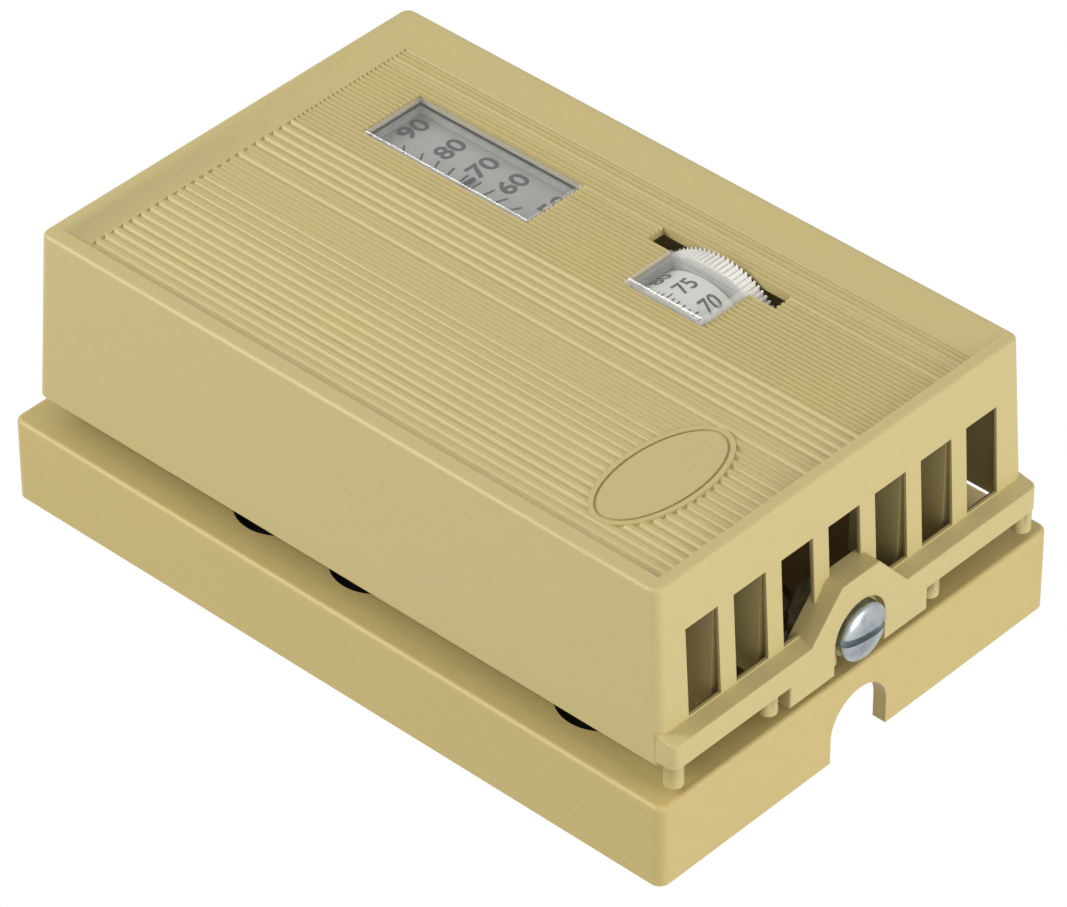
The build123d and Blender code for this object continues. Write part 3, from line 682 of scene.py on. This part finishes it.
@dataclass
class SetpointWheel:
    """The thumbwheel and the numbered drum that turns with it."""

    axle_z: float = -15.4
    axle_height: float = 33.1
    drum_radius: float = 10.8
    number_x: float = 15.5
    number_size: tuple[float, float] = (2.6, 2.95)
    number_weight: float = 0.05
    mark_start: float = 11.8
    mark_lengths: tuple[float, float] = (1.3, 0.7)
    mark_width: float = 0.22
    shown: float = 75.0
    shown_turn: float = 4.4
    turn_per_degree: float = 4.96
    values: range = range(50, 95, 5)
    rim_radius: float = 12.2
    rim_sides: tuple[float, float] = (19.75, 22.35)
    teeth: int = 92
    tooth_depth: float = 0.38
    rim_width: float = 1.7
    web_depth: float = 0.9

    def wrap(self, bm: bmesh.types.BMesh, turn: float, lift: float) -> None:
        """Bends a flat drawing on to the drum.

        Args:
            bm: The drawing in its XY plane, in metres, with X along the axle.
            turn: Degrees from the crown of the drum towards +Z.
            lift: Height of the drawing's middle above the drum, in millimetres.
        """
        for vert in bm.verts:
            around = math.radians(turn) + vert.co.y / (self.drum_radius * MM)
            radius = (self.drum_radius + lift) * MM + vert.co.z
            vert.co = Vector((
                vert.co.x,
                -(self.axle_height * MM + radius * math.cos(around)),
                self.axle_z * MM + radius * math.sin(around),
            ))

    def print_drum(self) -> None:
        """Prints numbers and marks round the drum."""
        bm = bmesh.new()
        height, width = self.number_size
        for value in self.values:
            turn = self.shown_turn + (value - self.shown) * self.turn_per_degree
            word = lettering(str(value), height, width, self.number_weight)
            bmesh.ops.subdivide_edges(
                word, edges=[e for e in word.edges if e.calc_length() > 0.8 * MM], cuts=3, use_grid_fill=True
            )
            bmesh.ops.translate(word, verts=word.verts, vec=(self.number_x * MM, 0, 0))
            self.wrap(word, turn, PRINT_LIFT)
            join_into(bm, word)
        for step in range(self.values[0], self.values[-1] + 1):
            turn = self.shown_turn + (step - self.shown) * self.turn_per_degree
            length = self.mark_lengths[0] if step % self.values.step == 0 else self.mark_lengths[1]
            mark = bar(length, self.mark_width, PRINT_THICKNESS)
            bmesh.ops.translate(mark, verts=mark.verts, vec=((self.mark_start + length / 2) * MM, 0, 0))
            self.wrap(mark, turn, PRINT_LIFT)
            join_into(bm, mark)
        piece_from("drum_numbers", bm, Finish.PRINT, "setpoint")

    def build_rim(self) -> None:
        """Makes the knurled wheel: a toothed disc with a rim that stands above its web."""
        bm = bmesh.new()
        left, right = (side * MM for side in self.rim_sides)
        outer = bmesh.ops.create_circle(
            bm, segments=self.teeth * 4, radius=self.rim_radius * MM, cap_ends=True
        )
        for index, vert in enumerate(outer["verts"]):
            around = math.atan2(vert.co.y, vert.co.x)
            phase = 0.5 + 0.5 * math.cos(around * self.teeth)
            vert.co *= 1 - self.tooth_depth / self.rim_radius * (1 - phase ** 0.6)
        lifted = bmesh.ops.extrude_face_region(bm, geom=list(bm.faces))
        top = [v for v in lifted["geom"] if isinstance(v, bmesh.types.BMVert)]
        bmesh.ops.translate(bm, verts=top, vec=(0, 0, right - left))
        cap = [f for f in bm.faces if all(v in top for v in f.verts)]
        bmesh.ops.inset_region(bm, faces=cap, thickness=self.rim_width * MM, depth=0.0)
        bmesh.ops.inset_region(bm, faces=cap, thickness=0.25 * MM, depth=-self.web_depth * MM)
        bmesh.ops.recalc_face_normals(bm, faces=bm.faces)
        rims = [
            e for e in bm.edges
            if len(e.link_faces) == 2 and e.calc_face_angle() > math.radians(60)
            and all(v.co.xy.length > (self.rim_radius - 1) * MM for v in e.verts)
            and abs(e.verts[0].co.z - e.verts[1].co.z) < 1e-7
        ]
        bmesh.ops.bevel(
            bm, geom=rims, offset=0.16 * MM, offset_type="OFFSET", segments=2, profile=0.5,
            affect="EDGES", material=-1, clamp_overlap=False,
        )
        place = Matrix.Translation(Vector((left, -self.axle_height * MM, self.axle_z * MM)))
        bmesh.ops.transform(bm, matrix=place @ Matrix.Rotation(math.radians(90), 4, "Y"), verts=bm.verts)
        obj = piece_from("knurled_wheel", bm, Finish.WHEEL, "setpoint", 28.0)
        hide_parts("thumbwheel")

    def build(self) -> None:
        """Builds the wheel, its drum, axle, cam and clips."""
        fair_piece("setpoint_drum", Finish.WHEEL, "setpoint")
        fair_piece("setpoint_axle", Finish.ZINC, "setpoint")
        fair_piece("setpoint_cam", Finish.WHEEL, "setpoint")
        fair_piece("axle_clips", Finish.ZINC, "setpoint")
        self.build_rim()
        self.print_drum()


@dataclass
class Works:
    """The chassis and what stands on it, hidden under the cover."""

    steel: tuple[str, ...] = (
        "hook_bracket", "hook_screws", "screw_bracket", "captive_nut", "wheel_bracket",
        "bracket_screws", "lever_pin", "switch_screws",
    )
    brass: tuple[str, ...] = ("terminal_clamps", "terminal_screws", "bus_strips")

    def build(self) -> None:
        """Dresses each piece of the works."""
        fair_piece("chassis_plate", Finish.BOARD, "base")
        for node in self.steel:
            fair_piece(node, Finish.ZINC, "base")
        # the chassis screws are dark partly as painted shade where they show through the louvres
        fair_piece("chassis_screws", Finish.DARK_STEEL, "base")
        fair_piece("wiring_plugs", Finish.RUBBER, "base")
        for node in self.brass:
            fair_piece(node, Finish.BRASS, "base")
        fair_piece("switch_case", Finish.BLACK, "base")
        fair_piece("terminal_block", Finish.BLACK, "base")
        fair_piece("switch_plunger", Finish.WHEEL, "plunger")
        fair_piece("follower_lever", Finish.ZINC, "lever")
        fair_piece("blade_rivets", Finish.BRASS, "lever")
        fair_piece("bimetal_blade", Finish.BIMETAL, "blade")


@dataclass
class CoverScrew:
    """The slotted pan-head screw that holds the cover's lower end."""

    height: float = 19.4
    seat: float = -58.1
    head_radius: float = 4.35
    rim: float = 1.8
    dome: float = 2.9
    shank_radius: float = 2.02
    tip: float = -49.4
    pitch: float = 0.8
    thread_depth: float = 0.35
    slot_width: float = 1.15
    slot_depth: float = 1.35
    slot_turn: float = 7.0

    def profile(self) -> list[tuple[float, float]]:
        """Returns radius and distance pairs from the tip, along the shank, to the crown."""
        shank = self.shank_radius
        root = shank - self.thread_depth
        points = [(0.0, self.tip), (shank - 0.5, self.tip), (shank - 0.2, self.tip - 0.4)]
        z = self.tip - 0.4
        while z > self.seat + 1.2 * self.pitch:
            points += [(shank, z - 0.25 * self.pitch), (shank, z - 0.4 * self.pitch)]
            points += [(root, z - 0.75 * self.pitch), (root, z - self.pitch)]
            z -= self.pitch
        points += [(shank - 0.2, self.seat), (self.head_radius - 0.15, self.seat)]
        points += [(self.head_radius, self.seat - 0.2), (self.head_radius, self.seat - self.rim)]
        for step in range(1, 9):
            angle = math.radians(90 * step / 8)
            points.append((
                self.head_radius * math.cos(angle) ** 0.75 if step < 8 else 0.0,
                self.seat - self.rim - (self.dome - self.rim) * math.sin(angle),
            ))
        return points

    def build(self) -> None:
        """Spins the screw and cuts its slot."""
        bm = bmesh.new()
        verts = [bm.verts.new(Vector((r * MM, 0, z * MM))) for r, z in self.profile()]
        edges = [bm.edges.new(pair) for pair in zip(verts, verts[1:])]
        bmesh.ops.spin(
            bm, geom=[*verts, *edges], cent=(0, 0, 0), axis=(0, 0, 1), angle=math.tau, steps=48,
            use_merge=True,
        )
        bmesh.ops.remove_doubles(bm, verts=bm.verts, dist=0.001 * MM)
        bmesh.ops.recalc_face_normals(bm, faces=bm.faces)
        cutter = bmesh.new()
        bmesh.ops.create_cube(cutter, size=1.0)
        bmesh.ops.scale(cutter, verts=cutter.verts, vec=(12 * MM, self.slot_width * MM, 4 * MM))
        bmesh.ops.rotate(
            cutter, verts=cutter.verts, matrix=Matrix.Rotation(math.radians(self.slot_turn), 3, "Z")
        )
        depth = self.seat - self.dome + self.slot_depth
        bmesh.ops.translate(cutter, verts=cutter.verts, vec=(0, 0, (depth - 2) * MM))
        bm = cut(bm, cutter)
        bmesh.ops.translate(bm, verts=bm.verts, vec=(0, -self.height * MM, 0))
        obj = piece_from("pan_head_screw", bm, Finish.SCREW, "screw", 35.0)
        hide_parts("cover_screw")


def cut(solid: bmesh.types.BMesh, cutter: bmesh.types.BMesh) -> bmesh.types.BMesh:
    """Cuts one closed mesh out of another.

    Args:
        solid: The mesh that is kept; it is freed.
        cutter: The mesh that is taken away; it is freed.

    Returns:
        The new closed mesh.
    """
    holders = []
    for bm in (solid, cutter):
        mesh = bpy.data.meshes.new("cutting")
        bm.to_mesh(mesh)
        bm.free()
        holder = bpy.data.objects.new("cutting", mesh)
        bpy.context.scene.collection.objects.link(holder)
        holders.append(holder)
    modifier = holders[0].modifiers.new("cut", "BOOLEAN")
    modifier.operation = "DIFFERENCE"
    modifier.solver = "EXACT"
    modifier.object = holders[1]
    graph = bpy.context.evaluated_depsgraph_get()
    result = bpy.data.meshes.new_from_object(holders[0].evaluated_get(graph))
    out = bmesh.new()
    out.from_mesh(result)
    bpy.data.meshes.remove(result)
    for holder in holders:
        mesh = holder.data
        bpy.data.objects.remove(holder)
        bpy.data.meshes.remove(mesh)
    return out


@dataclass
class Studio:
    """The plain pale floor, the soft light and the camera.

    Eye is in millimetres; right and up are the picture's directions; backdrop is the
    way the camera looks, where the surroundings are white, and fill is their level behind it.
    """

    eye: tuple[float, float, float] = (-515.68, -583.39, -479.68)
    right: tuple[float, float, float] = (0.678802, 0.001959, -0.734319)
    up: tuple[float, float, float] = (0.461476, -0.778995, 0.424508)
    lens: float = 225.8
    floor_drop: float = 640.0
    sky: str = "ffffff"
    backdrop: tuple[float, float, float] = (0.571, 0.627, 0.529)
    fill: float = 0.55

    def build_floor(self) -> None:
        """Lays a pale floor well below the object."""
        bm = bmesh.new()
        bmesh.ops.create_grid(bm, x_segments=1, y_segments=1, size=4.0)
        bmesh.ops.translate(bm, verts=bm.verts, vec=(0, 0, -self.floor_drop * MM))
        mesh = bpy.data.meshes.new("floor")
        bm.to_mesh(mesh)
        bm.free()
        floor = bpy.data.objects.new("floor", mesh)
        bpy.context.scene.collection.objects.link(floor)
        material, tree, coords = new_material("pale_paper")
        tone = add_node(tree, "ShaderNodeTexNoise", {"Vector": coords, "Scale": 2.0, "Detail": 1.0})
        colour = add_node(
            tree, "ShaderNodeMix",
            {"Factor": tone.outputs["Fac"], "A": linear("f4f4f2"), "B": linear("f7f7f6")}, data_type="RGBA",
        )
        shader = add_node(
            tree, "ShaderNodeBsdfPrincipled", {"Base Color": colour.outputs["Result"], "Roughness": 0.9}
        )
        close_material(tree, shader.outputs["BSDF"])
        mesh.materials.append(material)

    def add_softbox(
        self, name: str, place: tuple[float, float, float], size: float, power: float, colour: str
    ) -> None:
        """Hangs a square light aimed at the object.

        Args:
            name: The light's name.
            place: Where it hangs, in metres.
            size: Its side, in metres.
            power: Its power, in watts.
            colour: Its colour.
        """
        light = bpy.data.lights.new(name, "AREA")
        light.shape = "SQUARE"
        light.size = size
        light.energy = power
        light.color = linear(colour)[:3]
        holder = bpy.data.objects.new(name, light)
        aim = Vector((0, -0.02, 0)) - Vector(place)
        holder.rotation_euler = aim.to_track_quat("-Z", "Y").to_euler()
        holder.location = place
        bpy.context.scene.collection.objects.link(holder)

    def build_light(self) -> None:
        """Surrounds the object with light, brightest from the backdrop, and adds two soft boxes."""
        world = bpy.data.worlds.new("studio")
        bpy.context.scene.world = world
        world.use_nodes = True
        world.node_tree.nodes.clear()
        tree = world.node_tree
        coords = add_node(tree, "ShaderNodeTexCoord")
        along = add_node(
            tree, "ShaderNodeVectorMath", {0: coords.outputs["Generated"], 1: self.backdrop},
            operation="DOT_PRODUCT",
        )
        level = add_node(
            tree, "ShaderNodeMapRange",
            {"Value": along.outputs["Value"], "From Min": 0.35, "From Max": 0.85, "To Min": self.fill,
             "To Max": 1.0},
            interpolation_type="SMOOTHSTEP",
        )
        sky = add_node(
            tree, "ShaderNodeBackground",
            {"Color": linear(self.sky), "Strength": level.outputs["Result"]},
        )
        add_node(tree, "ShaderNodeOutputWorld", {"Surface": sky.outputs["Background"]})
        self.add_softbox("end_box", (0.05, -0.16, -0.60), 0.3, 1.8, "fffdf6")
        self.add_softbox("top_left_box", (-0.62, -0.56, 0.54), 0.4, 7.0, "fffefa")

    def build_camera(self) -> None:
        """Sets the camera where the view is taken from."""
        camera = bpy.data.cameras.new("view")
        camera.lens = self.lens
        camera.sensor_width = 36.0
        camera.clip_start = 0.01
        camera.clip_end = 50.0
        holder = bpy.data.objects.new("view", camera)
        right = Vector(self.right).normalized()
        up = (Vector(self.up) - right * Vector(self.up).dot(right)).normalized()
        turn = Matrix((right, up, right.cross(up))).transposed().to_4x4()
        holder.matrix_world = Matrix.Translation(Vector(self.eye) * MM) @ turn
        bpy.context.scene.collection.objects.link(holder)
        bpy.context.scene.camera = holder

    def build(self) -> None:
        """Sets up the stage."""
        bpy.context.scene.view_settings.view_transform = "Standard"
        self.build_floor()
        self.build_light()
        self.build_camera()


def main() -> None:
    """Builds the thermostat's sub-assemblies and its stage."""
    for assembly in (Housing(), Windows(), Thermometer(), SetpointWheel(), Works(), CoverScrew(), Studio()):
        assembly.build()
        log.info("built %s", type(assembly).__name__)


if __name__ == "__main__":
    main()
